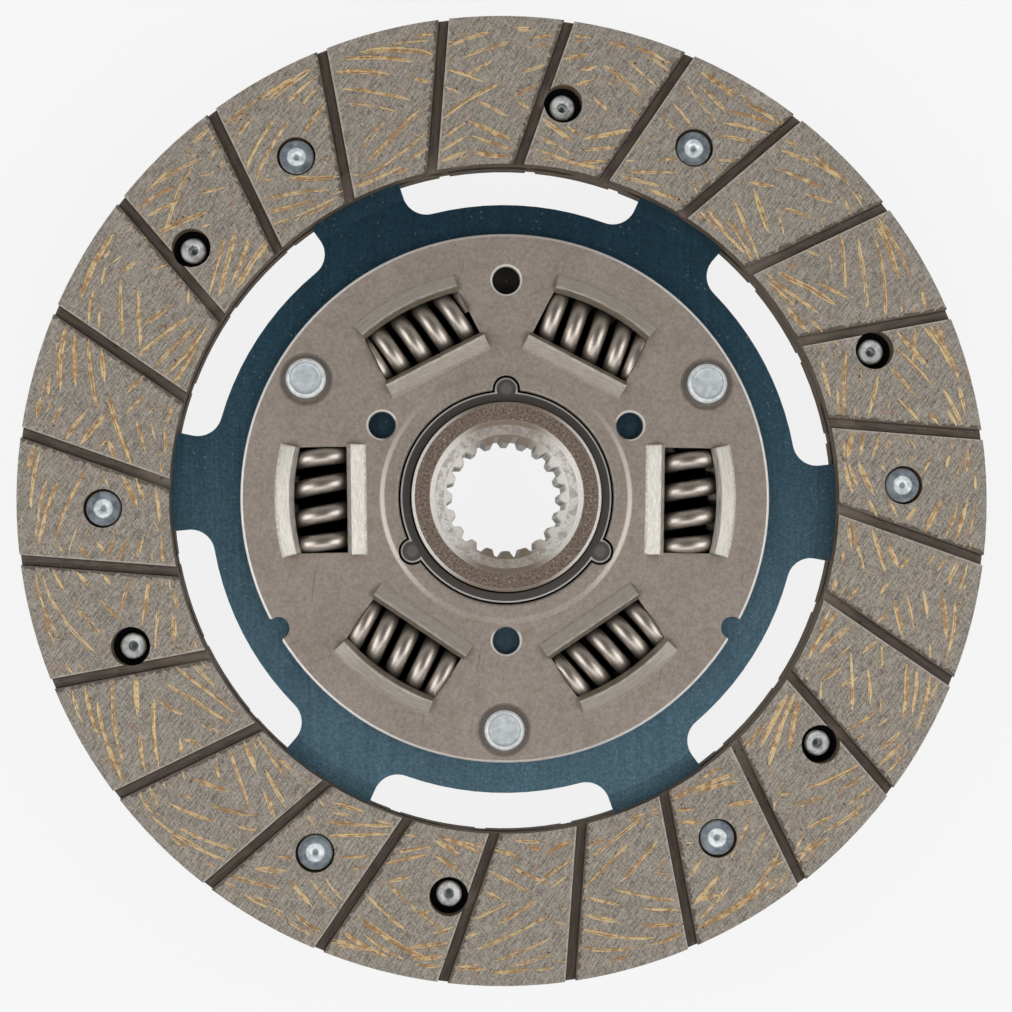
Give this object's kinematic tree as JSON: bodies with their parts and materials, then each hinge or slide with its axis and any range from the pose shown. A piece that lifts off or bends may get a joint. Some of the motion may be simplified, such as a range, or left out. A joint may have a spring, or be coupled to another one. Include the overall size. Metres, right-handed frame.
{
  "type": "clutch disc",
  "caption": "Riveted clutch driven disc with grooved friction linings, waved blued steel carrier and a splined hub that twists on coil springs.",
  "frame": {"origin": "on the spline axis, in the middle of the carrier plate's thickness", "axes": "+Z along the spline axis towards the front, the side with the short hub barrel; +Y towards the sighting hole; +X to the right seen from the front"},
  "size_m": [0.2, 0.2, 0.0225],
  "materials": {
    "friction_lining": "ground organic friction material with brass wire strands",
    "blued_spring_steel": "blued spring steel sheet with fine brushing",
    "phosphated_steel": "grey brown phosphated sheet steel with bright worn edges",
    "sintered_steel": "speckled brown grey steel with turned faces",
    "coil_spring_steel": "oiled spring wire, brown grey and glossy",
    "zinc_plated_steel": "zinc plated, slightly blue",
    "rivet_zinc": "zinc plated semi-tubular rivets",
    "black_plastic": "black moulded plastic",
    "bare_spring_steel": "plain oiled spring steel"
  },
  "bodies": {
    "disc": {"front_lining": "friction_lining", "rear_lining": "friction_lining", "carrier_plate": "blued_spring_steel", "front_plate": "phosphated_steel", "rear_plate": "phosphated_steel", "stop_pin_1": "zinc_plated_steel", "stop_pin_2": "zinc_plated_steel", "stop_pin_3": "zinc_plated_steel", "front_rivets": "rivet_zinc", "rear_rivets": "rivet_zinc", "front_friction_ring": "black_plastic", "rear_friction_ring": "black_plastic", "thrust_ring": "phosphated_steel", "spring_washer": "bare_spring_steel"},
    "hub_core": {"hub": "sintered_steel"},
    "spring_set": {"damper_spring_1": "coil_spring_steel", "damper_spring_2": "coil_spring_steel", "damper_spring_3": "coil_spring_steel", "damper_spring_4": "coil_spring_steel", "damper_spring_5": "coil_spring_steel", "damper_spring_6": "coil_spring_steel"}
  },
  "joints": [
    {"name": "hub_twist", "type": "hinge", "parent": "disc", "child": "hub_core", "pos_m": [0, 0, 0], "axis": [0, 0, 1], "range_deg": [-7.5, 7.5], "stiffness_Nm_per_rad": 6, "deforming": ["damper_spring_1", "damper_spring_2", "damper_spring_3", "damper_spring_4", "damper_spring_5", "damper_spring_6"]},
    {"name": "spring_drift", "type": "hinge", "parent": "disc", "child": "spring_set", "pos_m": [0, 0, 0], "axis": [0, 0, 1], "range_deg": [-3.75, 3.75]}
  ],
  "couplings": [
    {"joint": "spring_drift", "follows": "hub_twist", "ratio": 0.5}
  ]
}
